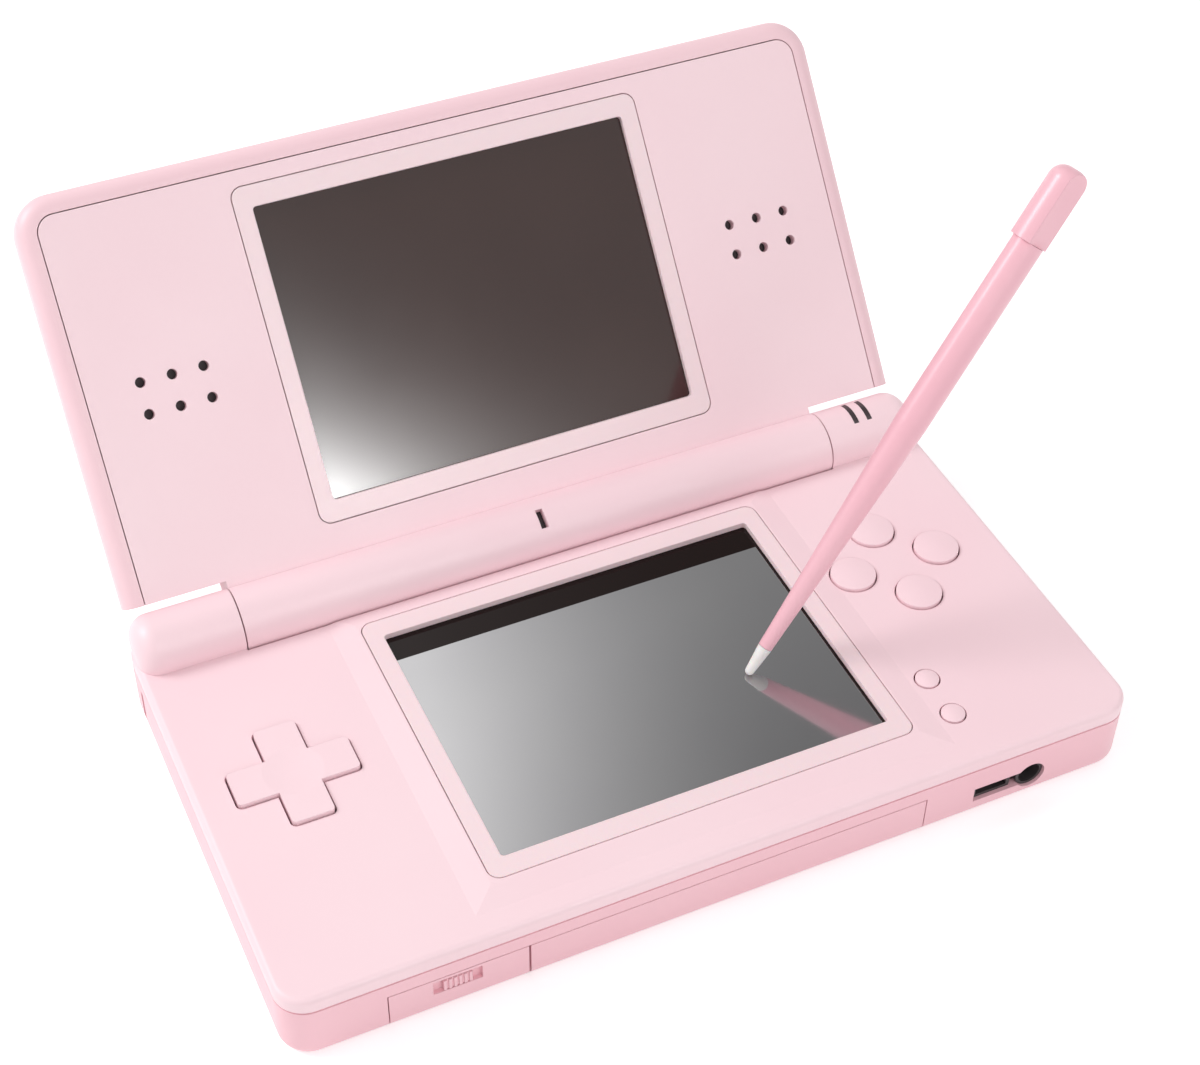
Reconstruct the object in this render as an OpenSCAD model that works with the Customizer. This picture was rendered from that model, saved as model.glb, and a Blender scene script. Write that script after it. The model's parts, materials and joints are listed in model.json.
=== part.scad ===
// Clamshell handheld game console: a base with the touch screen and the controls, a lid with the
// upper screen and the speakers on a barrel hinge, and a loose stylus with its tip on the touch screen.
// The origin is the middle of the underside. X points right, Y to the hinge, Z up.
// Pieces of the lid are drawn in the lid's own frame: closed, with its origin on the hinge axis.

/* [Case] */
// Width of the deck on each side of the touch screen's frame, which carries the controls
control_w = 33.05; // [29:0.05:40]
// Depth of the deck in front of the touch screen's frame
front_margin = 8.05; // [7:0.05:14]
// Depth of the deck between the touch screen's frame and the lid's barrel
back_margin = 2.55; // [2.2:0.05:6]
// Height of the upper shell's side, from the seam up to the deck
upper_rim_h = 2.7; // [2.3:0.1:3]
// Wall of the base shells and of the lid shells
wall = 1.5; // [1.2:0.1:1.7]
// Corner radius of the base, seen from above
base_corner_r = 4.6; // [3.5:0.1:8]
// Rounding of the deck's edge
deck_edge_r = 0.9; // [0.4:0.1:1.4]
// Rounding of the underside's edge
under_edge_r = 2.2; // [1:0.1:3]

/* [Lid] */
// Distance of the lid's sides inside the base's sides
lid_inset = 0.8; // [0:0.1:1.5]
// Angle between the lid and the base, as photographed
lid_angle = 129; // [100:1:135]
// Thickness of the lid
lid_t = 7.5; // [6.8:0.1:10]
// Thickness of the lid's inner shell, which lies inside the outer shell's rim
lid_seam_h = 2.8; // [2.6:0.1:3.2]
// Width of the outer shell's rim round the inner shell
lid_rim_w = 3.2; // [2.6:0.1:3.6]
// Corner radius of the lid, seen from above
lid_corner_r = 6; // [5:0.1:9]
// Rounding of the lid's inner edge
lid_inner_edge_r = 2.4; // [0.8:0.1:2.5]
// Rounding of the lid's outer edge
lid_outer_edge_r = 3.6; // [2:0.1:4.5]
// Gap between the deck and the closed lid
lid_gap = 1.1; // [1:0.1:1.6]

/* [Hinge] */
// Radius of the hinge barrels
barrel_r = 5.2; // [5:0.1:5.6]
// Length of each base barrel
base_barrel_l = 16; // [13:0.5:20]
// Rounding of the base barrels' outer ends
barrel_end_r = 3.2; // [1:0.1:4.5]
// Radius of the hinge pins
hinge_pin_r = 1.95; // [1.5:0.05:2.1]
// Running clearance of the hinge pins, in radius
pin_play = 0.05; // [0.02:0.01:0.1]
// Length of the hinge pins in the base barrels
hinge_pin_l = 9; // [5:0.5:11]
// Radius of the hinge cartridge's housing
cartridge_r = 3; // [2.6:0.1:3.3]
// Length of the hinge cartridge's housing
cartridge_l = 22; // [12:1:28]

/* [Screens] */
// Width of the visible glass
glass_w = 61.4; // [54:0.1:63]
// Height of the visible glass
glass_d = 46; // [40:0.1:47.5]
// Width of the pale frame beside the glass
frame_side = 2.75; // [1.8:0.05:3]
// Width of the pale frame above and below the glass
frame_end = 3.3; // [2:0.05:3.6]
// Thickness of the lower screen frame, which is the depth of the touch glass under it
frame_t = 1; // [0.8:0.1:1.2]
// Distance of the upper screen's frame from the hinge axis
upper_margin = 10.3; // [9.5:0.1:12]
// Height of the platform round the touch screen
platform_h = 0.6; // [0.2:0.1:0.6]
// Width of the platform's slope
platform_slope = 3.8; // [2:0.1:4]
// Thickness of the touch glass
touch_t = 1.2; // [0.8:0.1:1.2]
// Thickness of the lower display
lcd_t = 2; // [1.4:0.1:2.1]
// Thickness of the upper screen's lens
lens_t = 1; // [0.8:0.1:1.2]

/* [Cross pad] */
// Distance of the cross pad's middle from the case's side
pad_from_side = 14.7; // [13:0.1:16]
// Distance of the cross pad's middle behind the touch screen's middle
pad_back = 3.4; // [-2:0.1:6]
// Length of the pad, from arm to arm
pad_l = 18.3; // [15:0.1:19]
// Width of the pad's arms
pad_arm_w = 6.3; // [5:0.1:7]
// Height of the pad over the deck
pad_proud = 0.6; // [0.3:0.1:0.7]
// Clearance round the pad, which tips
pad_gap = 0.3; // [0.25:0.01:0.4]

/* [Buttons] */
// Distance of the four face buttons' middle from the touch screen's frame
face_from_frame = 15.05; // [13.5:0.05:17]
// Distance of the four face buttons' middle behind the touch screen's middle
face_back = 6; // [0:0.1:8]
// Distance of each face button from their middle
face_pitch = 7.5; // [6.5:0.1:7.8]
// Diameter of a face button
face_d = 7.1; // [6:0.1:8]
// Height of the face buttons over the deck
face_proud = 0.8; // [0.3:0.1:0.8]
// Travel of the face buttons
face_travel = 0.6; // [0.3:0.1:0.7]
// Distance of the two small buttons from the touch screen's frame
small_from_frame = 6.95; // [6.5:0.05:8]
// Distance of the front small button from the case's front
small_front = 9.15; // [7:0.05:11]
// Distance between the two small buttons
small_pitch = 7.5; // [6.5:0.1:8.5]
// Diameter of the small buttons
small_d = 3.6; // [3:0.1:4.6]
// Height of the small buttons over the deck
small_proud = 0.5; // [0.2:0.1:0.6]
// Clearance round the round buttons
button_gap = 0.22; // [0.2:0.01:0.4]

/* [Ports] */
// Width of the front cartridge bay
bay_w = 62.4; // [58:0.1:64]
// Height of the front cartridge bay
bay_h = 6.3; // [5.6:0.1:7.5]
// Depth of the front cartridge bay
bay_depth = 25; // [22:0.5:25.5]
// Width of the rear card slot
card_w = 33.6; // [30:0.1:36]
// Height of the rear card slot
card_h = 4.15; // [4.1:0.01:4.2]
// Radius of the headphone socket
jack_r = 1.8; // [1.7:0.05:2]
// Distance of the headphone socket from the cartridge bay
jack_from_bay = 18.2; // [16:0.1:20]
// Height of the headphone socket
jack_z = 4.5; // [4.2:0.1:4.8]
// Length of the headphone socket
jack_l = 12; // [9:0.5:14]
// Width of the headset slot beside the socket
headset_w = 7.6; // [6:0.1:8]
// Height of the headset slot
headset_h = 2.7; // [2.4:0.1:3.4]
// Width of the charging port
charge_w = 8.6; // [7:0.1:9.5]
// Height of the charging port
charge_h = 3.6; // [3:0.1:4]
// Distance of the charging port from the rear card slot
charge_from_card = 13.2; // [9:0.1:15]
// Distance of the wrist-strap loop from the rear card slot
strap_from_card = 16.2; // [12:0.1:18]

/* [Sliders] */
// Width of the front panel that holds the volume slider
panel_w = 20.5; // [17:0.1:24]
// Distance of the volume slider's middle from the panel's outer end
volume_from_end = 10; // [8.5:0.1:11.5]
// Distance of the volume slider below the panel's top edge
volume_drop = 1.8; // [1.5:0.1:2.5]
// Travel of the volume slider to each side
volume_travel = 1.2; // [1:0.1:3]
// Distance of the power slider in front of the stylus's mouth
power_front = 13; // [11:0.5:20]
// Height of the power slider
power_z = 6.2; // [5.8:0.1:6.6]
// Travel of the power slider
power_travel = 2.5; // [1.5:0.1:3]
// Length of a slider's knob
knob_l = 4.2; // [3.6:0.1:6.5]
// Height of a slider's knob
knob_h = 2; // [1.6:0.1:2.4]

/* [Shoulder buttons] */
// Length of a shoulder button along the back
shoulder_l = 20; // [17:0.5:22]
// Length of a shoulder button along the side
shoulder_side = 7; // [6:0.1:7.5]
// Height of a shoulder button
shoulder_h = 5.6; // [4.5:0.1:5.8]
// Radius of a shoulder button's pivot pin
shoulder_pin_r = 0.9; // [0.7:0.05:1]
// Gap round a shoulder button, which is more than its travel
shoulder_gap = 1.3; // [1.2:0.1:1.6]

/* [Stylus] */
// Length of the stylus
stylus_l = 87.5; // [80:0.5:92]
// Radius of the stylus's shaft
stylus_r = 2.45; // [2:0.05:2.5]
// Radius of the nib
nib_r = 0.7; // [0.5:0.05:0.9]
// Length of the nib
nib_l = 5; // [3:0.1:7]
// Length of the shaft's taper
taper_l = 40; // [20:0.5:50]
// Length of the stylus's cap
cap_l = 12; // [9:0.1:15]
// Radius of the stylus's cap
cap_r = 3; // [2.6:0.05:3]
// Distance of the cap's flat side from its axis
cap_flat = 1.75; // [1.2:0.05:1.8]
// Direction of the cap's flat side about the stylus
cap_turn = 268; // [240:1:300]
// Place of the tip on the touch glass
tip_at = [16.8, -8.3];
// Lean of the stylus from the vertical
stylus_lean = 40; // [30:1:50]
// Direction of the lean, from the right towards the hinge
stylus_turn = 14; // [5:1:25]
// Clearance of the stylus in its silo, in radius
silo_play = 0.25; // [0.15:0.05:0.3]

/* [Hidden] */
$fn = 64;

// Colours, as photographed
pink = "#F6CDD5";
pink_inner = "#F8D8DE";
pale_frame = "#FAE9EC";
dark_glass = "#4E4341";
grey_glass = "#9A9B9D";
black_plastic = "#3A3133";
board_green = "#3F6B4F";
battery_grey = "#5C5C60";
steel = "#C4C6C9";
rubber_grey = "#8B8B90";
white_plastic = "#F4F2F0";

// Small clearances between pieces that don't move on each other
fit = 0.1;
seam = 0.15;
groove_t = 0.25;
eps = 0.01;

// Outlines of the screens
frame_w = glass_w + 2 * frame_side;
frame_d = glass_d + 2 * frame_end;
touch_w = frame_w - 2.6;
touch_d = frame_d - 4.4;
frame_corner_r = 1.8;
glass_corner_r = 0.6;

// Case, from its contents
trough_r = barrel_r + 0.3;
case_w = frame_w + 2 * control_w;
case_d = front_margin + frame_d + back_margin + trough_r + barrel_r;
front_y = -case_d / 2;
screen_y = front_y + front_margin + frame_d / 2;
hinge_y = case_d / 2 - barrel_r;

// Heights in the base, from the floor up
floor_t = 1.3;
bay_z = floor_t;
front_top = bay_z + bay_h - 0.1;
board_t = 0.8;
board_z = bay_z + bay_h + 0.5;
membrane_z = board_z + board_t;
lcd_z = membrane_z + 0.3 + lcd_t;
touch_z = lcd_z + 0.1 + touch_t;
platform_z = touch_z + frame_t;
deck_h = platform_z - platform_h;
roof_z = deck_h - wall;
base_seam_h = deck_h - upper_rim_h;
hinge_z = deck_h + lid_gap;
shelf_z = hinge_z - trough_r;
cavity_back = hinge_y - barrel_r - 0.2;

// Hinge
base_barrel_x = case_w / 2 - 0.3 - base_barrel_l;
lid_barrel_w = 2 * base_barrel_x - 0.4;

// Lid
lid_w = case_w - 2 * lid_inset;
lid_l = hinge_y - front_y;
lid_clear = barrel_r + 1.1;
lid_round_r = 9;
panel_corner_r = lid_corner_r - lid_rim_w;
upper_screen_l = upper_margin + frame_d / 2;

// Silo of the stylus, between the card slot below and the deck above
silo_r = stylus_r + silo_play;
silo_wall = 0.5;
silo_y = screen_y + touch_d / 2 + silo_r - 0.2;
silo_z = floor_t + card_h + seam + silo_wall + silo_r;
silo_mouth_x = case_w / 2 - 0.3;
silo_step_x = silo_mouth_x - cap_l;
silo_end_x = silo_mouth_x - stylus_l - 1;
mouth_r = cap_r + silo_play;
mouth_flat = silo_r + 0.05;

// Main board, in front of the silo
board_back = silo_y - mouth_r - silo_wall - 0.3;
board_front = front_y + wall + 2;

// Screws and their bosses: two pairs beside the cartridge bay and the screen, two near the right side
screw_r = 0.9;
screw_head_r = 1.7;
boss_r = 1.9;
top_boss_r = 1.55;
rail_t = 1.1;
inner_screw_x = max(bay_w / 2 + seam + rail_t, touch_w / 2 + 0.2) + boss_r + 0.55;
outer_screw_x = case_w / 2 - 5.2;
screw_at = [
    for (x = [-inner_screw_x, inner_screw_x], y = [front_y + 5.95, board_back - 2.95]) [x, y],
    [outer_screw_x, front_y + 11.45],
    [outer_screw_x, board_back - 3.95]
];

// Feet
foot_r = 2.2;
foot_t = 0.8;
foot_at = [for (x = [-1, 1], y = [front_y + 4.7, case_d / 2 - 13.6]) [x * (case_w / 2 - 6.2), y]];

// Battery and its cover, between the left side and the inner screws
cover_left = -case_w / 2 + wall + 1.3;
cover_right = -inner_screw_x - boss_r - 0.7;
cover_front = front_y + 4.7 + foot_r + 0.65;
cover_back = board_back - 0.95;
cover_w = cover_right - cover_left;
cover_d = cover_back - cover_front;
battery_x = (cover_left + cover_right) / 2;
battery_y = (cover_front + cover_back) / 2;
cover_screw_at = [battery_x, cover_back - 2.6];

// Controls
pad_x = case_w / 2 - pad_from_side;
pad_y = screen_y + pad_back;
pad_top = deck_h + pad_proud;
rocker_r = 1.6;
face_x = frame_w / 2 + face_from_frame;
face_y = screen_y + face_back;
face_at = [for (a = [90, 0, 270, 180]) [face_x + face_pitch * cos(a), face_y + face_pitch * sin(a)]];
small_x = max(frame_w / 2 + small_from_frame, inner_screw_x + small_d / 2 + 2.6);
small_y = [front_y + small_front + small_pitch, front_y + small_front];
small_travel = 0.4;

// Radio board, as wide and one and a half times as deep as the group of face buttons above it
wifi_w = 2 * face_pitch + 1;
wifi_d = 1.5 * wifi_w;
wifi_t = 2;
wifi_x = face_x + 1.5;
wifi_y = screen_y - 3.4;

// Ports and sliders
contact_block = 2.2;
card_depth = 22;
jack_x = max(bay_w / 2 + jack_from_bay, inner_screw_x + boss_r + headset_w + 2.5);
charge_x = card_w / 2 + charge_from_card;
charge_z = 4;
strap_x = -card_w / 2 - strap_from_card;
panel_right = -bay_w / 2 - 2 * seam;
panel_x = panel_right - panel_w;
volume_x = panel_x + volume_from_end;
volume_z = front_top - volume_drop;
power_y = silo_y - mouth_r - power_front;
tab_l = knob_l * 0.3;

// Shoulder buttons
shoulder_z = shelf_z - 1 - shoulder_h;
shoulder_pin_at = [case_w / 2 - shoulder_l + 2, case_d / 2 - 3.9];

// Lamps on the right base barrel
lamp_w = 0.9;
lamp_x = [base_barrel_x + 5.5, base_barrel_x + 7.9];
lamp_spread = 28;

// Speakers, halfway between the upper screen's frame and the lid's side
speaker_x = (frame_w / 2 + lid_w / 2) / 2 - 0.35;
speaker_l = upper_screen_l - 0.55;
speaker_r = 8.2;
magnet_r = 5.4;
basket_h = 1.8;
hole_pitch = [4.9, 4.9];
hole_r = 0.8;

// Neck between the stylus's nib and its shaft, and the plug on the shaft's end that the cap fits over
neck_r = 1.1;
shaft_end = stylus_l - cap_l;
plug_r = cap_flat - 0.55;
plug_l = 5;

// Microphone in the lid's barrel
mic_x = -0.6;
mic_turn = 24;
mic_r = 1.9;
mic_depth = 3.5;

// ---------------------------------------------------------------- shapes that repeat

// Cuts the corner of a square down to a rounding of radius r; the material lies towards +x and +y
module corner_cut(r) {
    difference() {
        translate([-1, -1]) square(r + 1);
        translate([r, r]) circle(r);
    }
}

// Section of width w and height h, with its lower and its upper corners rounded
module rounded_section(w, h, low, high) {
    difference() {
        translate([-w / 2, 0]) square([w, h]);
        for (side = [0, 1]) mirror([side, 0]) {
            translate([-w / 2, 0]) corner_cut(low);
            translate([-w / 2, h]) mirror([0, 1]) corner_cut(high);
        }
    }
}

// Block with rounded upright corners of radius r and rounded lower and upper edges
module rounded_block(w, d, h, r, low, high) {
    for (x = [-1, 1], y = [-1, 1])
        translate([x * (w / 2 - r), y * (d / 2 - r), 0])
            rotate_extrude() intersection() {
                rounded_section(2 * r, h, low, high);
                square([r, h]);
            }
    rotate([90, 0, 0]) linear_extrude(d - 2 * r, center = true) rounded_section(w, h, low, high);
    rotate([90, 0, 90]) linear_extrude(w - 2 * r, center = true) rounded_section(d, h, low, high);
}

// Flat rectangle with round corners
module rounded_rect(w, d, r) {
    square([w, d - 2 * r], center = true);
    square([w - 2 * r, d], center = true);
    for (x = [-1, 1], y = [-1, 1]) translate([x * (w / 2 - r), y * (d / 2 - r)]) circle(r);
}

// Plate of that outline, from height z0 to z1
module plate(w, d, r, z0, z1) translate([0, 0, z0]) linear_extrude(z1 - z0) rounded_rect(w, d, r);

// Box given by two opposite corners
module box(low, high) translate(low) cube(high - low);

// Cylinder along X from x0 to x1, about the line (y, z)
module bar_x(r, x0, x1, y = 0, z = 0) translate([x0, y, z]) rotate([0, 90, 0]) cylinder(r = r, h = x1 - x0);

// Cylinder along Y from y0 to y1, about the line (x, z)
module bar_y(r, y0, y1, x = 0, z = 0) translate([x, y1, z]) rotate([90, 0, 0]) cylinder(r = r, h = y1 - y0);

// Puts a piece of the lid on the hinge at the lid's angle
module on_lid() translate([0, hinge_y, hinge_z]) rotate([-lid_angle, 0, 0]) children();

// Pale ring round a glass, at heights z0 to z1
module screen_ring(z0, z1) {
    difference() {
        plate(frame_w, frame_d, frame_corner_r, z0, z1);
        plate(glass_w, glass_d, glass_corner_r, z0 - 1, z1 + 1);
    }
}

// ---------------------------------------------------------------- base shells

// Sloped platform round the touch screen: two prisms with sloping ends cross each other
module platform() {
    w = frame_w + 0.8;
    d = frame_d + 0.8;
    translate([0, screen_y, deck_h - 1]) intersection() {
        rotate([90, 0, 0]) linear_extrude(case_d, center = true) platform_section(w);
        rotate([90, 0, 90]) linear_extrude(case_w, center = true) platform_section(d);
    }
}

module platform_section(top_w) {
    foot_w = top_w + 2 * platform_slope;
    polygon([
        [-foot_w / 2, 0], [foot_w / 2, 0], [foot_w / 2, 1],
        [top_w / 2, 1 + platform_h], [-top_w / 2, 1 + platform_h], [-foot_w / 2, 1]
    ]);
}

// One base barrel, on the right; its outer end is rounded
module base_barrel() {
    translate([base_barrel_x, hinge_y, hinge_z]) rotate([0, 90, 0]) rotate_extrude() difference() {
        square([barrel_r, base_barrel_l]);
        translate([barrel_r, base_barrel_l]) rotate(180) corner_cut(barrel_end_r);
    }
}

// Fine groove round a block of width w and depth d, at height z: the visible line between two shells
module seam_groove(w, d, r, z) translate([0, 0, z - seam]) difference() {
    plate(w + 2, d + 2, r + 1, 0, 2 * seam);
    plate(w - 2 * groove_t, d - 2 * groove_t, r - groove_t, -1, 1);
}

// Outside of the whole base
module base_outline() {
    difference() {
        union() {
            rounded_block(case_w, case_d, deck_h, base_corner_r, under_edge_r, deck_edge_r);
            platform();
        }
        seam_groove(case_w, case_d, base_corner_r, base_seam_h);
        // the trough of the lid's barrel, open to the back
        bar_x(trough_r, -base_barrel_x, base_barrel_x, hinge_y, hinge_z);
        box([-base_barrel_x, hinge_y, shelf_z], [base_barrel_x, case_d, case_d]);
    }
    for (side = [0, 1]) mirror([side, 0, 0]) base_barrel();
}

// Hollow of the base, in front of the solid strip that carries the hinge
module base_hollow() {
    depth = cavity_back - front_y - wall;
    difference() {
        translate([0, front_y + wall + depth / 2, floor_t])
            plate(case_w - 2 * wall, depth, base_corner_r - wall, 0, roof_z - floor_t);
        bar_x(trough_r + 1, -case_w, case_w, hinge_y, hinge_z);
    }
}

// Room for the silo, a little larger than the silo itself
module silo_room() {
    bar_x(silo_r + silo_wall + fit / 2, silo_end_x - silo_wall - fit, silo_step_x, silo_y, silo_z);
    mouth(silo_wall + fit / 2, silo_step_x - silo_wall - fit, case_w);
}

// Flat-topped round section of the silo's mouth and of the cap in it, from x0 to x1
module mouth(grow, x0, x1) translate([0, silo_y, silo_z]) intersection() {
    bar_x(mouth_r + grow, x0, x1);
    box([x0 - 1, -case_w, -case_w], [x1 + 1, case_w, mouth_flat + grow]);
}

// Room of a shoulder button at the right rear corner, with its travel
module shoulder_room() {
    z0 = shoulder_z - fit;
    box([case_w / 2 - shoulder_l - 0.4, case_d / 2 - 7.2, z0], [case_w, case_d, z0 + shoulder_h + 2 * fit]);
    box([case_w / 2 - 4.2, case_d / 2 - shoulder_side - shoulder_gap, z0],
        [case_w, case_d / 2 - 7, z0 + shoulder_h + 2 * fit]);
}

// Recess of a slider on a wall that faces -Y, with the slot for its tab
module slider_recess(travel) {
    recess_l = knob_l + 2 * travel + 0.6;
    slot_l = tab_l + 2 * travel + 0.4;
    translate([-recess_l / 2, -1, -knob_h / 2 - 0.3]) cube([recess_l, 1.7, knob_h + 0.6]);
    translate([-slot_l / 2, -1, -0.6]) cube([slot_l, 5, 1.2]);
}

// Knob that slides in such a recess, with its tab through the wall
module slider_knob() {
    difference() {
        translate([-knob_l / 2, -0.1, -knob_h / 2]) cube([knob_l, 0.6, knob_h]);
        // grip grooves across the knob
        for (x = [-1.5 : 0.75 : 1.5])
            translate([x - 0.15, -0.2, -knob_h / 2 - 1]) cube([0.3, 0.3, knob_h + 2]);
    }
    translate([-tab_l / 2, 0.4, -0.4]) cube([tab_l, 2.4, 0.8]);
}

// Front opening of the headphone socket, which runs into the headset slot beside it
module jack_opening() {
    bar_y(jack_r + 0.55, front_y - 1, front_y + wall + 1, jack_x, jack_z);
    box([jack_x - headset_w - 2.2, front_y - 1, jack_z - headset_h / 2],
        [jack_x - jack_r, front_y + wall + 1, jack_z + headset_h / 2]);
}

module base_bottom_shell() color(pink) {
    difference() {
        intersection() {
            base_outline();
            box([-case_w, -case_d, -1], [case_w, case_d, base_seam_h]);
        }
        base_hollow();
        // battery opening in the underside
        translate([battery_x, battery_y, 0])
            plate(cover_w + 2 * seam, cover_d + 2 * seam, 1.5, -1, floor_t + 1);
        // front opening of the cartridge bay and of the panel beside it
        box([panel_x - seam, front_y - 1, -1], [bay_w / 2 + seam, front_y + wall + seam, front_top + seam]);
        // rear card slot
        box([-card_w / 2, cavity_back - 1, floor_t], [card_w / 2, case_d, floor_t + card_h]);
        charge_room();
        strap_loop();
        silo_room();
        jack_opening();
        translate([case_w / 2, power_y + power_travel / 2, power_z]) rotate([0, 0, 90])
            slider_recess(power_travel / 2);
        for (side = [0, 1]) mirror([side, 0, 0]) {
            shoulder_room();
            shoulder_pin(fit / 2);
        }
        for (p = foot_at) translate([p[0], p[1], -1]) cylinder(r = foot_r + fit, h = 1 + foot_t);
        // wells of the screw heads
        for (p = screw_at) translate([p[0], p[1], -1]) cylinder(r = screw_head_r + fit, h = 1.9);
        for (p = screw_at) translate([p[0], p[1], -1]) cylinder(r = screw_r + fit, h = 12);
    }
    bay_rails();
    cover_screw_tab();
    screw_bosses(floor_t - eps, board_z - 0.2);
}

// Rails that guide a cartridge on both sides of the bay
module bay_rails() {
    for (side = [0, 1]) mirror([side, 0, 0])
        box([bay_w / 2 + seam, front_y + wall + seam, floor_t - eps],
            [bay_w / 2 + seam + rail_t, front_y + bay_depth, bay_z + bay_h - 0.3]);
}

module screw_bosses(z0, z1) {
    for (p = screw_at) translate([p[0], p[1], z0]) difference() {
        cylinder(r = boss_r, h = z1 - z0);
        translate([0, 0, -1]) cylinder(r = screw_r + fit, h = z1 - z0 + 2);
    }
}

module base_top_shell() color(pink_inner) {
    difference() {
        intersection() {
            base_outline();
            box([-case_w, -case_d, base_seam_h], [case_w, case_d, case_d]);
        }
        base_hollow();
        translate([0, screen_y, 0]) {
            plate(frame_w + 2 * seam, frame_d + 2 * seam, frame_corner_r + seam, touch_z, case_d);
            plate(touch_w + 0.4, touch_d + 0.4, 1, roof_z - 1, case_d);
        }
        silo_room();
        pad_hole();
        for (p = face_at) translate([p[0], p[1], 0]) cylinder(d = face_d + 2 * button_gap, h = case_d);
        for (y = small_y) translate([small_x, y, 0]) cylinder(d = small_d + 2 * button_gap, h = case_d);
        // bores of the hinge pins
        for (side = [0, 1]) mirror([side, 0, 0]) translate([base_barrel_x, 0, 0])
            bar_x(hinge_pin_r + pin_play, -1, hinge_pin_l + 0.5, hinge_y, hinge_z);
        lamp_windows(0, barrel_r + 1);
    }
    top_bosses();
}

// Bosses that the screws bite into from below
module top_bosses() {
    for (p = screw_at) translate([p[0], p[1], board_z + board_t + 0.2]) difference() {
        cylinder(r = top_boss_r, h = roof_z - board_z - board_t - 0.2 + eps);
        translate([0, 0, -eps]) cylinder(r = screw_r + fit / 2, h = 1.8);
    }
}

module rubber_feet() color(rubber_grey) for (p = foot_at)
    translate([p[0], p[1], 0]) cylinder(r = foot_r, h = foot_t);

module base_screws() color(steel) for (p = screw_at) translate([p[0], p[1], 0.15]) {
    difference() {
        cylinder(r = screw_head_r, h = 0.7);
        // three-lobed recess of the screw head
        for (a = [0, 120, 240]) rotate(a) translate([0, -0.2, -1]) cube([1, 0.4, 1.35]);
    }
    cylinder(r = screw_r, h = board_z + board_t + 1.4);
}

// ---------------------------------------------------------------- battery

module battery_cover() color(pink) difference() {
    union() {
        translate([battery_x, battery_y, 0]) plate(cover_w, cover_d, 1.4, 0, floor_t);
        // tongues that hook over the shell's floor at the front
        for (x = [battery_x - 7, battery_x + 7]) {
            box([x - 2, cover_front - 1, floor_t + 0.05], [x + 2, cover_front + 2, floor_t + 0.45]);
            box([x - 2, cover_front + 0.6, floor_t - eps], [x + 2, cover_front + 2, floor_t + 0.2]);
        }
    }
    translate([cover_screw_at[0], cover_screw_at[1], -1]) cylinder(r = screw_r + fit, h = 4);
    translate([cover_screw_at[0], cover_screw_at[1], -1]) cylinder(r = screw_head_r + fit, h = 1.75);
}

// Tab of the shell's floor that the cover's screw bites into
module cover_screw_tab() difference() {
    edge_y = cover_back + seam;
    tab_w = 6;
    union() {
        box([cover_screw_at[0] - tab_w / 2, cover_screw_at[1] - 2.4, floor_t + 0.1],
            [cover_screw_at[0] + tab_w / 2, edge_y + 2, floor_t + 1.9]);
        box([cover_screw_at[0] - tab_w / 2, edge_y, floor_t - eps],
            [cover_screw_at[0] + tab_w / 2, edge_y + 2, floor_t + 1]);
    }
    translate([cover_screw_at[0], cover_screw_at[1], -1]) cylinder(r = screw_r - 0.05, h = 12);
}

module battery_cover_screw() color(steel) translate([cover_screw_at[0], cover_screw_at[1], 0.1]) {
    difference() {
        cylinder(r = screw_head_r, h = 0.6);
        for (a = [0, 90]) rotate(a) translate([-0.9, -0.2, -1]) cube([1.8, 0.4, 1.3]);
    }
    cylinder(r = screw_r - 0.1, h = 3);
}

module battery_pack() color(battery_grey) {
    front = cover_front + 1.2;
    back = cover_screw_at[1] - 2.6;
    translate([battery_x, (front + back) / 2, 0])
        plate(cover_w - 1.6, back - front, 2, floor_t + 0.6, board_z - 0.6);
}

// ---------------------------------------------------------------- boards and screens

module main_board() color(board_green) difference() {
    translate([0, (board_back + board_front) / 2, 0])
        plate(case_w - 2 * wall - 1.4, board_back - board_front, 2, board_z, board_z + board_t);
    for (p = screw_at) translate([p[0], p[1], 0]) cylinder(r = screw_r + 0.3, h = case_d);
}

// Radio board, which lies on the floor under the face buttons
module wifi_board() color(board_green) translate([wifi_x, wifi_y, floor_t + 0.3])
    box([-wifi_w / 2, -wifi_d / 2, 0], [wifi_w / 2, wifi_d / 2, wifi_t]);

module touch_panel() color(grey_glass) translate([0, screen_y, 0])
    plate(touch_w, touch_d, 0.8, touch_z - touch_t, touch_z);

module lower_lcd() color(black_plastic) translate([0, screen_y - 0.9, 0])
    plate(touch_w - 1.2, touch_d - 3, 0.8, lcd_z - lcd_t, lcd_z);

module lower_screen_frame() color(pale_frame) translate([0, screen_y, 0]) screen_ring(touch_z, platform_z);

// ---------------------------------------------------------------- slots and ports

// Tray round the rear card slot: two side rails, and a row of contacts at the inner end
module card_slot_connector() color(black_plastic) {
    back = cavity_back - 0.2;
    front = back - card_depth;
    for (side = [0, 1]) mirror([side, 0, 0])
        box([card_w / 2, front, floor_t + fit], [card_w / 2 + rail_t, back, floor_t + card_h]);
    box([-card_w / 2 - eps, front, floor_t + fit],
        [card_w / 2 + eps, front + contact_block, floor_t + card_h]);
}

// Contact block across the inner end of the cartridge bay
module cartridge_connector() color(black_plastic) difference() {
    y0 = front_y + bay_depth + 0.4;
    middle_z = bay_z + bay_h / 2;
    box([-bay_w / 2 + 2, y0, floor_t + fit], [bay_w / 2 - 2, y0 + 2 * contact_block, board_z - 0.2]);
    box([-bay_w / 2 + 5, y0 - 1, middle_z - 0.8], [bay_w / 2 - 5, y0 + contact_block, middle_z + 0.8]);
}

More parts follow.
